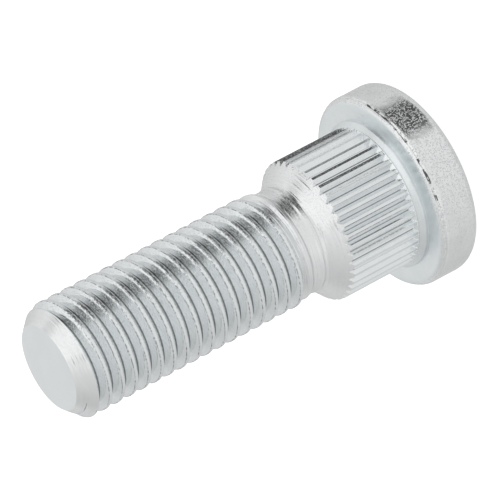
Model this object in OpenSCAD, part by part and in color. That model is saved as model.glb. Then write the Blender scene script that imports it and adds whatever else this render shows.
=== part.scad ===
// Press-in wheel stud: a round head, a knurled shank that bites into a hub flange, and a rolled
// right-hand metric thread for a wheel nut. It is one forged and rolled piece of plated steel.
// It stands on its head. Z runs up the axis from the head's end face to the tip, in millimetres.

/* [Head] */
// Diameter of the head
head_d = 20.25; // [18:0.05:24]
// Thickness of the head, from its end face to the bearing seat
head_h = 4.7; // [3:0.1:8]
// Radius of the rounded edge at the end face
head_round = 1.2; // [0.4:0.1:1.6]
// Radius of the lip round the bearing seat
lip_round = 0.75; // [0.2:0.05:1]

/* [Under-head ring] */
// Diameter of the ring that stands on the seat round the shank
ring_d = 15.7; // [15.5:0.05:16.5]
// Height of the ring above the seat
ring_h = 0.3; // [0.1:0.05:0.6]
// Height of the slope from the ring's top edge in to the knurled shank
ring_slope_h = 0.4; // [0.1:0.05:0.8]

/* [Knurled shank] */
// Diameter over the knurl's lands
knurl_d = 14.85; // [14:0.05:15.2]
// Length from the bearing seat to where the taper starts
knurl_l = 8.65; // [5:0.05:16]
// Number of teeth round the knurl
knurl_teeth = 41; // [30:1:48]
// Width of the land on top of each tooth
knurl_land = 0.36; // [0.26:0.02:0.5]
// Depth of the grooves below the lands
knurl_depth = 0.42; // [0.2:0.02:0.5]
// Sideways lean of each groove's root, because the rolled teeth have one broad and one steep flank
knurl_lean = 0.08; // [0:0.02:0.24]
// Length over which a groove runs out towards the under-head ring
knurl_runout = 0.45; // [0.3:0.05:1.5]
// Height of the flare from the foot of the ring's slope out to the lands
flare_h = 0.1; // [0.05:0.05:0.5]
// Depth of the fine notch there, below the lands
notch_depth = 0.06; // [0.04:0.02:0.12]
// Turn of the knurl about the axis
knurl_turn = 1.9; // [0:0.1:9]
// Height of the taper from the knurl down to the neck
taper_h = 1.8; // [1:0.05:3]

/* [Neck] */
// Diameter of the neck, which is the blank's own size before rolling
neck_d = 11.05; // [10.6:0.05:11.4]
// Height of the neck between the taper and the thread
neck_h = 1.45; // [1.2:0.05:4]
// Height that the bead round the neck stands proud
bead_proud = 0.08; // [0.02:0.02:0.2]
// Width of the bead along the axis
bead_w = 0.6; // [0.3:0.05:0.8]
// Height of the bead's middle above the foot of the taper
bead_rise = 0.5; // [0.4:0.05:0.8]

/* [Thread] */
// Diameter over the thread's crests
thread_d = 11.9; // [11.6:0.05:12.2]
// Pitch of the thread
pitch = 1.5; // [1:0.25:1.75]
// Length from the neck to the tip, with the run-out and the chamfer
thread_l = 27.4; // [15:0.1:45]
// Depth of the thread from crest to root
thread_depth = 0.82; // [0.5:0.02:0.9]
// Width of the flat crest
crest_w = 0.3; // [0.1:0.02:0.4]
// Width of the rounded root
root_w = 0.3; // [0.1:0.02:0.4]
// Height of the rounded root's edges above its middle
root_rise = 0.03; // [0.01:0.01:0.06]
// Length over which the crest fades into the neck
thread_runout = 1; // [0.5:0.1:3]
// Turn of the thread about the axis
thread_turn = 100; // [0:1:360]

/* [Tip] */
// Diameter of the flat end face
tip_d = 8.9; // [7:0.1:9.6]
// Height of the chamfer, measured to the crest diameter
tip_chamfer_h = 1.55; // [1:0.05:3]

/* [Hidden] */
$fn = 96;
head_r = head_d / 2;
ring_r = ring_d / 2;
knurl_r = knurl_d / 2;
knurl_root_r = knurl_r - knurl_depth;
notch_r = knurl_r - notch_depth;
neck_r = neck_d / 2;
thread_r = thread_d / 2;
tip_r = tip_d / 2;
// Heights of the stations along the axis
ring_z = head_h + ring_h;
notch_z = ring_z + ring_slope_h;
land_z = notch_z + flare_h;
taper_z = head_h + knurl_l;
neck_z = taper_z + taper_h;
thread_z = neck_z + neck_h;
tip_z = thread_z + thread_l;
// Half of the angle that a groove takes up at the land radius
groove_half_angle = 180 / knurl_teeth - knurl_land / knurl_r * 90 / PI;
// Radius of the bead's rounded top, from its width and how far it stands proud
bead_r = (bead_w * bead_w / 4 + bead_proud * bead_proud) / (2 * bead_proud);
bead_z = neck_z + bead_rise;
// Facets round one turn of the thread
steps = 40;
// The end zones that hold no thread form, where the mesh only follows the plain neck or chamfer
plain_h = 0.25;
// The threaded rod's lower end lies just inside the neck and reaches down into it
seam_gap = 0.02;
seam_sink = 0.5;

// Radius of the chamfered tip's cone at height z
function chamfer_r(z) = tip_r + (tip_z - z) * (thread_r - tip_r) / tip_chamfer_h;

// How much of the full thread form is there at height z, from 0 at the neck to 1 past the run-out
function fullness(z) = max(0, min(1, (z - thread_z - plain_h) / thread_runout));

// Radius of a thread point whose full form has radius r, at height z
function form_r(r, z) =
    let (base_r = neck_r - seam_gap)
    min(chamfer_r(z), base_r + (r - base_r) * fullness(z));

// Height at which the chamfer falls below the thread's root, so that the cone above it is plain
cone_z = tip_z - (thread_r - thread_depth - tip_r) * tip_chamfer_h / (thread_r - tip_r);

// Draws the turns that run past either end into the plain zone there
turns = ceil(thread_l / pitch) + 3;
first_crest_z = thread_z - pitch * 2;
function drawn_in(z) =
    let (low = thread_z + plain_h, past = pitch * 4)
    z < low ? low - plain_h * (low - z) / past :
    z > cone_z ? cone_z + (tip_z - cone_z) * (z - cone_z) / past : z;

// One pitch of the thread's section: offset along the axis from the crest's middle, and radius
section = [
    [-crest_w / 2, thread_r],
    [crest_w / 2, thread_r],
    [(pitch - root_w) / 2, thread_r - thread_depth + root_rise],
    [pitch / 2, thread_r - thread_depth],
    [(pitch + root_w) / 2, thread_r - thread_depth + root_rise]
];
rows = turns * len(section);

// Point of the helical surface on column i, row m
function thread_point(i, m) =
    let (
        corner = section[m % len(section)],
        turn = floor(m / len(section)) + i / steps,
        z = drawn_in(first_crest_z + pitch * turn + corner[0]),
        r = form_r(corner[1], z),
        angle = 360 * i / steps
    )
    [r * cos(angle), r * sin(angle), z];

function ring_points(r, z) = [for (i = [0:steps - 1]) [r * cos(360 * i / steps), r * sin(360 * i / steps), z]];

// The threaded rod: columns of section points joined round the axis, with a flat ring at each end
module thread_rod() {
    body_points = [for (i = [0:steps - 1]) for (m = [0:rows - 1]) thread_point(i, m)];
    low = len(body_points);
    high = low + steps;
    last = steps - 1;
    points = concat(
        body_points,
        ring_points(neck_r - seam_gap, thread_z - seam_sink),
        ring_points(tip_r, tip_z)
    );
    // Between neighbouring columns
    walls = [
        for (i = [0:last - 1]) for (m = [0:rows - 2])
            let (a = i * rows + m, b = a + rows)
            each [[a, a + 1, b], [a + 1, b + 1, b]]
    ];
    // From the last column to the first, one turn further up
    seam = [
        for (m = [0:rows - len(section) - 2])
            let (a = last * rows + m, b = m + len(section))
            each [[a, a + 1, b], [a + 1, b + 1, b]]
    ];
    seam_low = [for (m = [0:len(section) - 1]) [last * rows, m + 1, m]];
    seam_high = [
        for (m = [rows - len(section) - 1:rows - 2]) [rows - 1, last * rows + m, last * rows + m + 1]
    ];
    // From the columns' ends to the rings
    low_band = [
        for (i = [0:last])
            let (n = (i + 1) % steps)
            each [[low + i, i * rows, low + n], [low + n, i * rows, n * rows]]
    ];
    high_band = [
        for (i = [0:last])
            let (n = (i + 1) % steps, a = i * rows + rows - 1, b = n * rows + rows - 1)
            each [[a, high + i, b], [b, high + i, high + n]]
    ];
    ends = [[for (i = [0:last]) low + i], [for (i = [last:-1:0]) high + i]];
    rotate(thread_turn) polyhedron(
        points = points,
        faces = concat(walls, seam, seam_low, seam_high, low_band, high_band, ends)
    );
}

// Half of the section through the head, with both edges rounded
module head_half() {
    straight_h = head_h - head_round - lip_round;
    square([head_r - head_round, head_round]);
    translate([head_r - head_round, head_round]) quarter(head_round, -90);
    translate([0, head_round]) square([head_r, straight_h]);
    translate([0, head_h - lip_round]) square([head_r - lip_round, lip_round]);
    translate([head_r - lip_round, head_h - lip_round]) quarter(lip_round, 0);
}

// Quarter of a disc, turned by the angle
module quarter(r, angle) {
    rotate(angle) intersection() {
        circle(r);
        square(r);
    }
}

// Half of the section through the ring, the shank, the taper and the neck
module shank_half() {
    polygon([
        [0, 0],
        [ring_r, 0],
        [ring_r, ring_z],
        [notch_r, notch_z],
        [knurl_r, land_z],
        [knurl_r, taper_z],
        [neck_r, neck_z],
        [neck_r, thread_z],
        [0, thread_z]
    ]);
    intersection() {
        translate([neck_r + bead_proud - bead_r, bead_z]) circle(bead_r);
        translate([neck_r - bead_proud, bead_z - bead_w]) square([3 * bead_proud, 2 * bead_w]);
    }
}

// One groove of the knurl: its V section along the axis, met with its side view, which ramps out
module knurl_groove() {
    root = [knurl_root_r, -knurl_lean];
    left = knurl_r * [cos(groove_half_angle), -sin(groove_half_angle)];
    right = knurl_r * [cos(groove_half_angle), sin(groove_half_angle)];
    // The flanks carry on past the lands, so that nothing is left standing
    reach = 2;
    // The ramp leaves the shank just below the lands' ends, and stays clear of the slope below it
    end_r = knurl_r - notch_depth / 2;
    below = flare_h / 2;
    beyond = below * (end_r - knurl_root_r) / knurl_runout;
    intersection() {
        linear_extrude(neck_z) polygon([root, root + reach * (right - root), root + reach * (left - root)]);
        translate([0, knurl_r, 0]) rotate([90, 0, 0]) linear_extrude(knurl_d) polygon([
            [knurl_root_r - knurl_depth, land_z + knurl_runout],
            [knurl_root_r, land_z + knurl_runout],
            [end_r + beyond, land_z - below],
            [knurl_r + knurl_depth, land_z - below],
            [knurl_r + knurl_depth, neck_z],
            [knurl_root_r - knurl_depth, neck_z]
        ]);
    }
}

module wheel_stud() {
    color([0.79, 0.82, 0.83]) {
        difference() {
            rotate_extrude() {
                head_half();
                shank_half();
            }
            for (i = [0:knurl_teeth - 1]) rotate(knurl_turn + i * 360 / knurl_teeth) knurl_groove();
        }
        thread_rod();
    }
}

wheel_stud();
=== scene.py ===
"""Looks of the press-in wheel stud: forged head, knurled shank, turned neck and rolled thread in bright
zinc plate, on a plain pale floor in soft studio light.

Shapes are worked in millimetres, then scaled to metres.
"""

import math

import bmesh
import bpy
from mathutils import Matrix, Vector, noise


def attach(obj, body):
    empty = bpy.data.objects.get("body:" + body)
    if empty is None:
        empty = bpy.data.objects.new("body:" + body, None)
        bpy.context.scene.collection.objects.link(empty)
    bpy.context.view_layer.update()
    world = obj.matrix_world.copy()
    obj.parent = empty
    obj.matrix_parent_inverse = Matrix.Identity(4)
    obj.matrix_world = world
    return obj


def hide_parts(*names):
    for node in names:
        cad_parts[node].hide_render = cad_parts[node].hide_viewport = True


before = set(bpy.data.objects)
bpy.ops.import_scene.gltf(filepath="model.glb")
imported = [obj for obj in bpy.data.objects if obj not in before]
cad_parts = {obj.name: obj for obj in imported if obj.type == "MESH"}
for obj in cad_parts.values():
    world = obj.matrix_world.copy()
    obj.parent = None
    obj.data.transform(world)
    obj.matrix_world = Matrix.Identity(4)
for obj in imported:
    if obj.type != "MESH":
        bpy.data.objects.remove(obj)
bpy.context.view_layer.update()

MM = 0.001

# Points this close are merged, and two heights or radii this close count as the same
MERGE = 0.002
NEAR = 0.01

# Head
HEAD_R = 10.125
BACK_ROUND = 1.2
SEAT_Z = 4.7
LIP_ROUND = 0.74

# The seat's own finish covers the flat and the ring on it, from this height up and inside this radius
SEAT_R = 9.6
SEAT_FROM_Z = 4.5

# Marks of forging on the rim. They fade in over the first two heights and out over the last two.
RIM_FROM_Z = 0.2
RIM_FULL_FROM_Z = 1.0
RIM_FULL_TO_Z = 4.0
RIM_TO_Z = 4.5
RIM_WAVE = 0.02
RIM_PITS = 0.04
PITS_BELOW = -0.1

# Mark of trimming: a fine torn groove round the lip. Between some azimuths, in degrees, a dark reflection
# is painted into it.
TORN_Z = 4.3
TORN_DRIFT = 0.06
TORN_DEPTH = 0.11
TORN_HALF_W = 0.12
TORN_MEAN = 0.7
LIP_PAINTED_DARK_AZIMUTHS = ((-72, -34), (-110, -83), (60, 130))

# Under-head ring and the fine notch between it and the knurl
RING_R = 7.85
RING_Z = 5.0
RING_ROUND = 0.08
RING_FOOT_ROUND = 0.03
NOTCH_Z = 5.4
NOTCH_DEPTH = 0.06

# Knurled shank. A tooth runs from 0 at one root to 1 at the next: broad flank, land, steep flank.
# Below the ramp the grooves grow shallower. The first root's turn is in degrees.
LAND_R = 7.425
GROOVE_R = 7.005
TEETH = 41
TOOTH_TURN = 360 / TEETH
BROAD_END = 0.38
LAND_END = 0.733
ROOT_TURN = 1.25
LAND_Z = 5.5
RAMP_Z = 5.98
TAPER_Z = 13.34
HOLLOW = 0.3
BURR = 0.06
BURR_W = 0.05

# Ends of the teeth's straight run. The taper cuts the grooves off between the second and the third.
STRAIGHT_FROM_Z = RAMP_Z + 0.06
STRAIGHT_TO_Z = TAPER_Z - 0.1
GROOVES_OUT_Z = TAPER_Z + 0.6

# Taper and neck. Where the taper is narrower than the first radius, no groove reaches it.
PLAIN_CONE_R = GROOVE_R - 0.1
NECK_R = 5.5
NECK_Z = 15.15
NECK_ROUND = 0.3
BEAD_Z = 15.6
BEAD_W = 0.6
BEAD_PROUD = 0.08

# Thread. It rises out of the neck between the two last heights.
CREST_R = 5.95
THREAD_ROOT_R = 5.13
PITCH = 1.5
CREST_Z = 43.184
CREST_W = 0.3
THREAD_ROOT_W = 0.07
THREAD_ROOT_ROUND = 0.03
CREST_TIP_SIDE_ROUND = 0.015
CREST_HEAD_SIDE_ROUND = 0.06
ROD_Z = 16.4
FADE_Z = 16.85
FULL_Z = 18.3

# Tip
TIP_Z = 44.0
TIP_R = 4.46
CHAMFER_H = 1.55

# The stud is drawn as three sheets. Their open rims lie here, and a band of faces closes each gap.
HEAD_RIM_R = RING_R + 0.1
SHANK_RIM_R = RING_R + 0.06
SHANK_RIM_Z = ROD_Z - 0.08

# Columns round the head, round one tooth and round one turn of the thread
HEAD_STEPS = 360
TOOTH_STEPS = 20
TURN_STEPS = 80


# Shaping tools


def smoothstep(low, high, x):
    t = max(0.0, min(1.0, (x - low) / (high - low)))
    return t * t * (3 - 2 * t)


def chain(bm, points):
    """An open chain of edges through (radius, height) points in the plane y = 0."""
    verts = [bm.verts.new((r, 0, z)) for r, z in points]
    for pair in zip(verts, verts[1:]):
        bm.edges.new(pair)
    return verts


def round_corner(bm, vert, radius, segments):
    bmesh.ops.bevel(
        bm,
        geom=[vert],
        offset=radius,
        offset_type="OFFSET",
        segments=segments,
        profile=0.5,
        affect="VERTICES",
        material=-1,
    )


def cut_finer(bm, low, high, longest):
    """Splits the chain's edges between two heights until none is longer than that."""
    for edge in list(bm.edges):
        middle = (edge.verts[0].co.z + edge.verts[1].co.z) / 2
        cuts = math.ceil(edge.calc_length() / longest) - 1
        if low <= middle <= high and cuts > 0:
            bmesh.ops.subdivide_edges(bm, edges=[edge], cuts=cuts)


def turned(bm, steps):
    """Spins the chain one full turn about the stud's axis and closes the seam."""
    bmesh.ops.spin(
        bm,
        geom=list(bm.verts) + list(bm.edges),
        cent=(0, 0, 0),
        axis=(0, 0, 1),
        angle=math.tau,
        steps=steps,
        use_merge=True,
    )
    bmesh.ops.remove_doubles(bm, verts=bm.verts, dist=MERGE)


def set_radius(vert, r):
    out = Vector((vert.co.x, vert.co.y)).normalized()
    vert.co.x = out.x * r
    vert.co.y = out.y * r


def rim_edges(bm, low, high):
    """The open rim of a sheet whose points all lie between two heights."""
    return [
        e
        for e in bm.edges
        if e.is_boundary and all(low <= v.co.z <= high for v in e.verts)
    ]


def add_sheet(stud, bm):
    mesh = bpy.data.meshes.new("sheet")
    bm.to_mesh(mesh)
    bm.free()
    stud.from_mesh(mesh)
    bpy.data.meshes.remove(mesh)


# The head, from the middle of its end face to the foot of the under-head ring


def head_sheet():
    bm = bmesh.new()
    verts = chain(bm, [(0, 0), (HEAD_R, 0), (HEAD_R, SEAT_Z), (HEAD_RIM_R, SEAT_Z)])
    round_corner(bm, verts[1], BACK_ROUND, segments=7)
    round_corner(bm, verts[2], LIP_ROUND, segments=8)
    cut_finer(bm, TORN_Z - 2 * TORN_HALF_W, TORN_Z + 2 * TORN_HALF_W, longest=0.04)
    cut_finer(bm, BACK_ROUND, SEAT_Z - LIP_ROUND, longest=0.2)
    cut_finer(bm, -NEAR, NEAR, longest=2.5)
    cut_finer(bm, SEAT_Z - NEAR, SEAT_Z, longest=0.4)
    turned(bm, HEAD_STEPS)
    for vert in bm.verts:
        forge_marks(vert)
    return bm


def cloudy(vert, per_mm):
    """Smooth noise at a point, from about -1 to 1, with that many clouds to a millimetre."""
    return noise.noise(vert.co * per_mm)


def forge_marks(vert):
    """The rim isn't machined: it is a little wavy, with shallow pits, and its lip is torn."""
    fade_in = smoothstep(RIM_FROM_Z, RIM_FULL_FROM_Z, vert.co.z)
    on_rim = fade_in * (1 - smoothstep(RIM_FULL_TO_Z, RIM_TO_Z, vert.co.z))
    if on_rim > 0:
        wave = RIM_WAVE * cloudy(vert, per_mm=0.5)
        pits = RIM_PITS * min(0.0, cloudy(vert, per_mm=2.1) - PITS_BELOW)
        set_radius(vert, vert.co.xy.length + on_rim * (wave + pits))
    middle_z = TORN_Z + TORN_DRIFT * cloudy(vert, per_mm=0.7)
    across = abs(vert.co.z - middle_z) / TORN_HALF_W
    if across < 1 and vert.co.xy.length > SEAT_R:
        torn = max(0.0, TORN_MEAN + cloudy(vert, per_mm=1.6))
        set_radius(vert, vert.co.xy.length - TORN_DEPTH * torn * (1 - across))


# The shank: under-head ring, knurl, taper and neck


def shank_sheet():
    bm = bmesh.new()
    cone_slope = (NECK_Z - TAPER_Z) / (LAND_R - NECK_R)
    verts = chain(
        bm,
        [
            (SHANK_RIM_R, SEAT_Z),
            (RING_R, SEAT_Z),
            (RING_R, RING_Z),
            (LAND_R - NOTCH_DEPTH, NOTCH_Z),
            (LAND_R, LAND_Z),
            (LAND_R, STRAIGHT_FROM_Z),
            (LAND_R, STRAIGHT_TO_Z),
            (LAND_R, TAPER_Z),
            (PLAIN_CONE_R, TAPER_Z + (LAND_R - PLAIN_CONE_R) * cone_slope),
            (NECK_R, NECK_Z),
            (NECK_R, SHANK_RIM_Z),
        ],
    )
    round_corner(bm, verts[1], RING_FOOT_ROUND, segments=2)
    round_corner(bm, verts[2], RING_ROUND, segments=3)
    round_corner(bm, verts[9], NECK_ROUND, segments=4)
    cut_finer(bm, LAND_Z, STRAIGHT_FROM_Z, longest=0.06)
    cut_finer(bm, STRAIGHT_FROM_Z, STRAIGHT_TO_Z, longest=1.8)
    cut_finer(bm, STRAIGHT_TO_Z, GROOVES_OUT_Z, longest=0.08)
    cut_finer(bm, GROOVES_OUT_Z, NECK_Z - NECK_ROUND, longest=0.35)
    cut_finer(bm, NECK_Z - 0.1, ROD_Z, longest=0.08)
    turned(bm, TEETH * TOOTH_STEPS)
    for vert in bm.verts:
        knurl(vert)
        bead(vert)
    return bm


def tooth_phases():
    """Where the columns round a tooth stand, from 0 at one root to 1 at the next, close at its corners."""
    at_root = [-0.04, -0.012, 0.012, 0.04]
    at_edge = (-BURR_W, -0.018, 0.0, 0.018, BURR_W)
    at_broad_edge = [BROAD_END + beside for beside in at_edge]
    at_steep_edge = [LAND_END + beside for beside in at_edge]
    between = [0.13, 0.21, 0.29, 0.53, 0.62, 0.87]
    return sorted(phase % 1 for phase in at_root + at_broad_edge + at_steep_edge + between)


def tooth_height(phase):
    """The broad, slightly hollow flank up to the land and the steep flank down, with fine burrs."""
    sharpness = 60
    climb = phase / BROAD_END
    broad = math.exp(-sharpness * climb * (1 - HOLLOW * (1 - climb)))
    land = math.exp(-sharpness)
    steep = math.exp(-sharpness * (1 - phase) / (1 - LAND_END))
    height = -math.log(broad + land + steep) / sharpness
    past_broad = smoothstep(BROAD_END, BROAD_END + BURR_W, phase)
    before_steep = smoothstep(LAND_END, LAND_END - BURR_W, phase)
    dished = past_broad * before_steep
    return max(0.0, height - BURR / (LAND_R - GROOVE_R) * dished)


TOOTH_PHASES = tooth_phases()


def knurl(vert):
    """Moves a point of the turned shank to its place on the knurl's teeth."""
    turn = math.degrees(math.atan2(vert.co.y, vert.co.x)) % 360
    tooth, step = divmod(round(turn / TOOTH_TURN * TOOTH_STEPS), TOOTH_STEPS)
    phase = TOOTH_PHASES[step]
    angle = math.radians(ROOT_TURN + (tooth + phase) * TOOTH_TURN)
    r, z = vert.co.xy.length, vert.co.z
    if z > LAND_Z - NEAR:
        form = GROOVE_R + (LAND_R - GROOVE_R) * min(1.0, tooth_height(phase))
        ramp = LAND_R - (LAND_R - GROOVE_R) * (z - LAND_Z) / (RAMP_Z - LAND_Z)
        r = min(r, max(form, ramp))
    vert.co.x = r * math.cos(angle)
    vert.co.y = r * math.sin(angle)


def bead(vert):
    across = (vert.co.z - BEAD_Z) / (BEAD_W / 2)
    if abs(across) < 1:
        set_radius(vert, vert.co.xy.length + BEAD_PROUD * (1 - across * across))


# The rolled thread and the chamfered tip


def thread_sheet():
    bm = bmesh.new()
    flank_top = CREST_W / 2
    flank_foot = (PITCH - THREAD_ROOT_W) / 2
    turns = math.ceil((TIP_Z - ROD_Z) / PITCH) + 2
    start_z = CREST_Z - PITCH * (math.floor((CREST_Z - ROD_Z) / PITCH) + 2)
    verts = chain(
        bm,
        [
            (CREST_R, start_z),
            (CREST_R, start_z + flank_top),
            (THREAD_ROOT_R, start_z + flank_foot),
            (THREAD_ROOT_R, start_z + PITCH - flank_foot),
            (CREST_R, start_z + PITCH - flank_top),
            (CREST_R, start_z + PITCH),
        ],
    )
    round_corner(bm, verts[1], CREST_TIP_SIDE_ROUND, segments=1)
    round_corner(bm, verts[2], THREAD_ROOT_ROUND, segments=1)
    round_corner(bm, verts[3], THREAD_ROOT_ROUND, segments=1)
    round_corner(bm, verts[4], CREST_HEAD_SIDE_ROUND, segments=3)
    cut_finer(bm, start_z, start_z + PITCH, longest=0.2)
    bmesh.ops.spin(
        bm,
        geom=list(bm.verts) + list(bm.edges),
        cent=(0, 0, 0),
        axis=(0, 0, 1),
        dvec=(0, 0, PITCH / TURN_STEPS),
        angle=math.tau,
        steps=TURN_STEPS,
        use_merge=False,
    )
    # The turn and its copies are doubled until there are enough of them
    wound = 1
    while wound < turns:
        copy = bmesh.ops.duplicate(bm, geom=list(bm.verts) + list(bm.edges) + list(bm.faces))
        copied = [part for part in copy["geom"] if isinstance(part, bmesh.types.BMVert)]
        bmesh.ops.translate(bm, vec=(0, 0, PITCH * wound), verts=copied)
        wound *= 2
    bmesh.ops.remove_doubles(bm, verts=bm.verts, dist=2 * MERGE)
    cut_across(bm, ROD_Z, (0, 0, -1))
    cut_across(bm, TIP_Z, (0, 0, 1))
    for vert in bm.verts:
        fade_and_chamfer(vert)
    bmesh.ops.edgeloop_fill(bm, edges=rim_edges(bm, TIP_Z - NEAR, TIP_Z + NEAR))
    return bm


def cut_across(bm, z, away):
    """Cuts the sheet square to the axis and drops the side that the vector points to."""
    bmesh.ops.bisect_plane(
        bm,
        geom=list(bm.verts) + list(bm.edges) + list(bm.faces),
        dist=MERGE / 4,
        plane_co=(0, 0, z),
        plane_no=away,
        clear_outer=True,
    )


def fade_and_chamfer(vert):
    """The thread rises out of the neck, and its crests are cut off by the chamfer's cone."""
    r, z = vert.co.xy.length, vert.co.z
    formed = max(0.0, min(1.0, (z - FADE_Z) / (FULL_Z - FADE_Z))) ** 0.5
    r = NECK_R + (r - NECK_R) * formed
    set_radius(vert, min(r, chamfer_radius(z)))


def chamfer_radius(z):
    return TIP_R + (TIP_Z - z) * (CREST_R - TIP_R) / CHAMFER_H


# Zinc plate

# Between these levels of cloudy noise a grain of the steel rises, and a gap in a dark band of painted
# shade or specks closes
GRAIN_EDGE = (0.54, 0.64)
GAP_EDGE = (0.46, 0.56)
# Turning rings drift by this share of the place
RING_DRIFT = 0.04


def linear(hex_colour):
    """An sRGB hex colour as linear red, green, blue and alpha."""
    channels = [int(hex_colour[i : i + 2], 16) / 255 for i in (1, 3, 5)]
    return tuple(
        c / 12.92 if c <= 0.04045 else ((c + 0.055) / 1.055) ** 2.4 for c in channels
    ) + (1.0,)


def add(tree, kind, settings=None, inputs=None):
    """Adds a node with its settings, and its inputs' values or links."""
    node = tree.nodes.new(kind)
    for name, value in (settings or {}).items():
        setattr(node, name, value)
    for socket, value in (inputs or {}).items():
        if isinstance(value, bpy.types.NodeSocket):
            tree.links.new(value, node.inputs[socket])
        else:
            node.inputs[socket].default_value = value
    return node


def noise_of(tree, place, size_mm, detail):
    """Cloudy noise with blots of about that size, drawn out into rings if the place is (radius, z)."""
    return add(
        tree,
        "ShaderNodeTexNoise",
        inputs={"Vector": place, "Scale": 1 / (size_mm * MM), "Detail": detail},
    ).outputs["Fac"]


def maths(tree, operation, *values):
    return add(
        tree, "ShaderNodeMath", {"operation": operation}, dict(enumerate(values))
    ).outputs[0]


def ramp(tree, value, start, end, low=0.0, high=1.0):
    """Goes smoothly from low to high while the value goes from start to end."""
    inputs = {0: value, 1: start, 2: end, 3: low, 4: high}
    settings = {"interpolation_type": "SMOOTHSTEP"}
    return add(tree, "ShaderNodeMapRange", settings, inputs).outputs[0]


def mixed(tree, share, first, second):
    return add(
        tree, "ShaderNodeMix", {"data_type": "RGBA"}, {0: share, 6: first, 7: second}
    ).outputs[2]


def bump_on(tree, normal, height, depth_mm):
    inputs = {"Height": height, "Distance": depth_mm * MM, "Strength": 1.0}
    if normal:
        inputs["Normal"] = normal
    return add(tree, "ShaderNodeBump", inputs=inputs).outputs["Normal"]


def plated(name, tones, roughness, patch_mm, grain, lathe_marks=None, shade_and_speck_bands=()):
    """Bright zinc plate: pale metal with cloudy patches of two tones and a fine grain under the plating.

    grain is its size and depth, and lathe_marks are their spacing and depth. A dark band paints shade into
    a recess, a dark reflection, or a line of specks. It has four radii (begins, is full, is still full,
    ends), a darkness, and the size of the gaps that break it.
    """
    material = bpy.data.materials.new(name)
    material.use_nodes = True
    tree = material.node_tree
    tree.nodes.clear()
    place = add(tree, "ShaderNodeTexCoord").outputs["Object"]
    radius = radius_at(tree, place)
    patches = noise_of(tree, place, patch_mm, detail=3.0)
    colour = mixed(tree, patches, linear(tones[0]), linear(tones[1]))
    for low, full_low, full_high, high, darkness, gap_mm in shade_and_speck_bands:
        share = maths(
            tree,
            "MULTIPLY",
            ramp(tree, radius, low * MM, full_low * MM, 0.0, darkness),
            ramp(tree, radius, full_high * MM, high * MM, 1.0, 0.0),
        )
        if gap_mm:
            unbroken = ramp(tree, noise_of(tree, place, gap_mm, detail=5.0), *GAP_EDGE)
            share = maths(tree, "MULTIPLY", share, unbroken)
        # Painted shade, painted dark reflection or specks: the band's dark tone is mixed into the colour
        colour = mixed(tree, share, colour, linear(PAINTED_SHADE_AND_SPECK_TONE))
    grains = ramp(tree, noise_of(tree, place, grain[0], detail=2.0), *GRAIN_EDGE)
    normal = bump_on(tree, None, grains, grain[1])
    if lathe_marks:
        marks = noise_of(tree, rings_at(tree, place, radius), lathe_marks[0], detail=1.0)
        normal = bump_on(tree, normal, marks, lathe_marks[1])
    metal = add(
        tree,
        "ShaderNodeBsdfPrincipled",
        inputs={"Base Color": colour, "Metallic": 1.0, "Roughness": roughness, "Normal": normal},
    )
    add(tree, "ShaderNodeOutputMaterial", inputs={"Surface": metal.outputs["BSDF"]})
    return material


def radius_at(tree, place):
    flat = add(tree, "ShaderNodeVectorMath", {"operation": "MULTIPLY"}, {0: place, 1: (1, 1, 0)})
    length = add(tree, "ShaderNodeVectorMath", {"operation": "LENGTH"}, {0: flat.outputs[0]})
    return length.outputs["Value"]


def rings_at(tree, place, radius):
    """A place of radius and height alone, which drifts a little so that the rings break up."""
    height = add(tree, "ShaderNodeSeparateXYZ", inputs={0: place}).outputs["Z"]
    section = add(tree, "ShaderNodeCombineXYZ", inputs={0: radius, 1: height}).outputs[0]
    drift = add(tree, "ShaderNodeVectorMath", {"operation": "SCALE"}, {0: place, "Scale": RING_DRIFT})
    rings = add(tree, "ShaderNodeVectorMath", {"operation": "ADD"}, {0: section, 1: drift.outputs[0]})
    return rings.outputs[0]


# Dark tone of the painted shade in roots and grooves, of the lip's painted dark reflection, and of the
# crest specks
PAINTED_SHADE_AND_SPECK_TONE = "#34393b"
NEUTRAL = ("#f1f2f2", "#e4e6e7")
PALE_BLUE = ("#eef1f2", "#e3e7e8")
COLD_BLUE = ("#ecf0f1", "#dce2e4")

# Painted shade: a thin dark line in each thread root, where the root lies in shade. Dark specks along the
# crests
THREAD_ROOT_SHADE_AND_CREST_SPECKS = (
    (THREAD_ROOT_R - 0.2, THREAD_ROOT_R - 0.1, THREAD_ROOT_R, THREAD_ROOT_R + 0.045, 0.8, None),
    (CREST_R - 0.1, CREST_R - 0.07, CREST_R - 0.03, CREST_R - 0.01, 0.8, 0.2),
)
# Painted shade: a thin dark line in each groove of the knurl
KNURL_GROOVE_SHADE = ((GROOVE_R - 0.2, GROOVE_R - 0.1, GROOVE_R, GROOVE_R + 0.06, 0.75, None),)
# Painted dark reflection: the broken dark line in the lip's torn groove
LIP_DARK_REFLECTION = ((HEAD_R - 0.2, HEAD_R - 0.17, HEAD_R - 0.1, HEAD_R - 0.06, 0.9, 0.7),)

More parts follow.
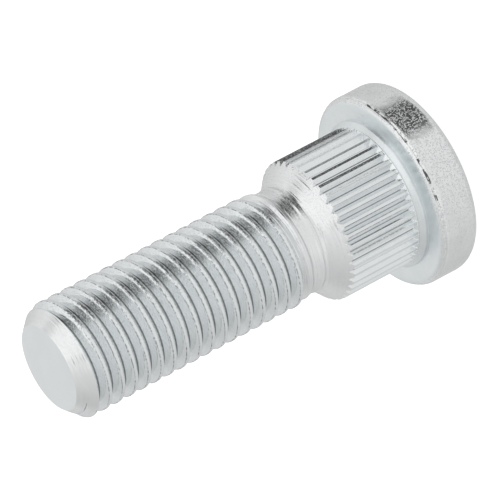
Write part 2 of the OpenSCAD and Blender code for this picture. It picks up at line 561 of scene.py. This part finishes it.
FORGED, TURNED, KNURLED, ROLLED, SHEARED, SEAT, LIP_PAINTED_DARK = range(7)
finishes = [
    # Rim and back: coarse, sparkling speckle where the dark side of the tent is mirrored
    plated("zinc_plated_forging", NEUTRAL, roughness=0.1, patch_mm=1.5, grain=(0.18, 0.04)),
    # Cone, neck, run-out and chamfer: bright and smooth, streaked by fine turning rings
    plated(
        "zinc_plated_turned_steel",
        NEUTRAL,
        roughness=0.13,
        patch_mm=2.0,
        grain=(0.14, 0.008),
        lathe_marks=(0.22, 0.07),
    ),
    # Knurl: almost a mirror, so that each flank is a clean stripe, with painted shade lines in the grooves
    # between the teeth
    plated(
        "zinc_plated_knurl",
        PALE_BLUE,
        roughness=0.12,
        patch_mm=1.0,
        grain=(0.15, 0.005),
        shade_and_speck_bands=KNURL_GROOVE_SHADE,
    ),
    # Thread: pale blue and softly mottled, with a painted shade line along each root
    plated(
        "zinc_plated_rolled_thread",
        PALE_BLUE,
        roughness=0.1,
        patch_mm=1.2,
        grain=(0.17, 0.014),
        shade_and_speck_bands=THREAD_ROOT_SHADE_AND_CREST_SPECKS,
    ),
    # Tip: an even, matt pale blue disc
    plated("zinc_plated_sheared_tip", PALE_BLUE, roughness=0.25, patch_mm=2.5, grain=(0.3, 0.004)),
    # Seat: the coldest and most clouded face, with faint turning rings
    plated(
        "zinc_plated_seat",
        COLD_BLUE,
        roughness=0.28,
        patch_mm=1.6,
        grain=(0.25, 0.006),
        lathe_marks=(0.14, 0.015),
    ),
    # Stretches of the lip with a painted dark reflection: a ragged dark line in the torn groove beside a
    # bright edge
    plated(
        "zinc_plated_lip_painted_dark_reflection",
        NEUTRAL,
        roughness=0.15,
        patch_mm=1.5,
        grain=(0.16, 0.02),
        shade_and_speck_bands=LIP_DARK_REFLECTION,
    ),
]


def finish_of(face):
    """Which finish a face has, by its place on the stud."""
    middle = face.calc_center_median()
    r, z = middle.xy.length, middle.z
    if z > TIP_Z - MERGE:
        return SHEARED
    if z > FULL_Z:
        return TURNED if abs(r - chamfer_radius(z)) < 2 * NEAR else ROLLED
    if z > TAPER_Z:
        return TURNED
    if r < SEAT_R and SEAT_FROM_Z < z < LAND_Z:
        return SEAT
    azimuth = math.degrees(math.atan2(middle.y, middle.x))
    # Between these azimuths a dark reflection is painted on the lip; the torn groove itself runs all round
    torn = any(low < azimuth < high for low, high in LIP_PAINTED_DARK_AZIMUTHS)
    if torn and z > SEAT_Z - LIP_ROUND and r > SEAT_R:
        return LIP_PAINTED_DARK
    return KNURLED if z > LAND_Z else FORGED


# The stud in one closed skin

# Edges that turn by more than this stay crisp, in degrees
SHARP_ANGLE = 22


def build_stud():
    stud = bmesh.new()
    add_sheet(stud, head_sheet())
    add_sheet(stud, shank_sheet())
    add_sheet(stud, thread_sheet())
    for low, high in ((SEAT_Z - NEAR, SEAT_Z + NEAR), (SHANK_RIM_Z - NEAR, ROD_Z + NEAR)):
        bmesh.ops.bridge_loops(stud, edges=rim_edges(stud, low, high))
    bmesh.ops.recalc_face_normals(stud, faces=stud.faces)
    for face in stud.faces:
        face.smooth = True
        face.material_index = finish_of(face)
    bmesh.ops.scale(stud, vec=(MM, MM, MM), verts=stud.verts)
    mesh = bpy.data.meshes.new("plated_stud")
    stud.to_mesh(mesh)
    stud.free()
    mesh.set_sharp_from_angle(angle=math.radians(SHARP_ANGLE))
    for material in finishes:
        mesh.materials.append(material)
    obj = bpy.data.objects.new("plated_stud", mesh)
    bpy.context.scene.collection.objects.link(obj)
    return obj


plated_stud = build_stud()
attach(plated_stud, "root")
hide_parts("wheel_stud")


# Camera at the photograph's angle

LENS_MM = 342.905
SENSOR_MM = 36.0
CAMERA_AT = Vector((0.97069, -413.64608, 215.75833)) * MM
RIGHT = Vector((-0.46695, -0.378584, -0.799144))
UP = Vector((0.884284, -0.199913, -0.421992))
VIEW = Vector((0.0, 0.903719, -0.428125))

camera_data = bpy.data.cameras.new("camera")
camera_data.lens = LENS_MM
camera_data.sensor_width = SENSOR_MM
camera_data.sensor_fit = "HORIZONTAL"
camera_data.clip_start = 0.01
camera_data.clip_end = 10.0
camera = bpy.data.objects.new("camera", camera_data)
bpy.context.scene.collection.objects.link(camera)
turn = Matrix((RIGHT, UP, -VIEW)).transposed().to_4x4()
camera.matrix_world = Matrix.Translation(CAMERA_AT) @ turn
bpy.context.scene.camera = camera


# Pale floor, a hair below the head's end face

FLOOR_HALF = 3.0
FLOOR_DROP_MM = 0.05


def studio_floor():
    bm = bmesh.new()
    just_below = Matrix.Translation((0, 0, -FLOOR_DROP_MM * MM))
    bmesh.ops.create_grid(bm, x_segments=1, y_segments=1, size=FLOOR_HALF, matrix=just_below)
    mesh = bpy.data.meshes.new("studio_floor")
    bm.to_mesh(mesh)
    bm.free()
    obj = bpy.data.objects.new("studio_floor", mesh)
    bpy.context.scene.collection.objects.link(obj)
    paint = bpy.data.materials.new("white_backdrop")
    paint.use_nodes = True
    tree = paint.node_tree
    tree.nodes.clear()
    surface = add(
        tree,
        "ShaderNodeBsdfPrincipled",
        inputs={
            "Base Color": linear("#b8b8b8"),
            "Roughness": 0.9,
            "Emission Color": linear("#ffffff"),
            "Emission Strength": 0.8,
        },
    )
    add(tree, "ShaderNodeOutputMaterial", inputs={"Surface": surface.outputs["BSDF"]})
    mesh.materials.append(paint)
    obj.visible_glossy = False
    return obj


studio_floor()


# Light tent: brightest overhead, duller on the left, with a dark gap low on the right that tapers upward.
# The gap shows as the dark band along the stud.

EVEN_LIGHT = 0.833
BRIGHTER_TOWARD = Vector((0.028, -0.139, 0.204))
DULL_SIDE = Vector((-0.70, 0.10, 0.70)).normalized()
DULL_CHANGE = -0.25


def sky_direction(azimuth, elevation):
    a, e = math.radians(azimuth), math.radians(elevation)
    return Vector((math.cos(a) * math.cos(e), math.sin(a) * math.cos(e), math.sin(e)))


def sky_dot(tree, direction, toward):
    dot = add(
        tree, "ShaderNodeVectorMath", {"operation": "DOT_PRODUCT"}, {0: direction, 1: toward}
    )
    return dot.outputs["Value"]


def patch(tree, direction, toward, inner, outer):
    """1 within the inner angle of a direction, falling to 0 at the outer one."""
    near = sky_dot(tree, direction, toward)
    return ramp(tree, near, math.cos(math.radians(outer)), math.cos(math.radians(inner)))


# Where a patch of the tent lies, how far it is full and how far it reaches in degrees, and its change to
# the light there
LOW_GAP = (sky_direction(-25, -25), 10, 31, -0.88)
MIDDLE_GAP = (sky_direction(-13, 12), 8, 24, -0.85)
HIGH_GAP = (sky_direction(8, 40), 4, 16, -0.25)
CAMERA_LENS = (sky_direction(-104, 44), 3, 10, -0.6)
FRONT = (sky_direction(-90, 18), 15, 40, -0.15)
GROUND = (Vector((0, 0, -1)), 40, 62, 0.12)


def light_tent():
    world = bpy.data.worlds.new("light_tent")
    bpy.context.scene.world = world
    world.use_nodes = True
    tree = world.node_tree
    tree.nodes.clear()
    direction = add(tree, "ShaderNodeTexCoord").outputs["Generated"]
    slope = sky_dot(tree, direction, BRIGHTER_TOWARD)
    strength = maths(tree, "ADD", slope, EVEN_LIGHT)
    dull = patch(tree, direction, DULL_SIDE, inner=15, outer=60)
    strength = maths(tree, "MULTIPLY_ADD", dull, DULL_CHANGE, strength)
    for toward, inner, outer, change in (LOW_GAP, MIDDLE_GAP, HIGH_GAP, CAMERA_LENS, FRONT, GROUND):
        here = patch(tree, direction, toward, inner, outer)
        left = maths(tree, "MULTIPLY_ADD", here, change, 1.0)
        strength = maths(tree, "MULTIPLY", strength, left)
    background = add(
        tree,
        "ShaderNodeBackground",
        inputs={"Color": linear("#ffffff"), "Strength": strength},
    )
    add(tree, "ShaderNodeOutputWorld", inputs={"Surface": background.outputs[0]})


light_tent()
bpy.context.scene.view_settings.view_transform = "Standard"
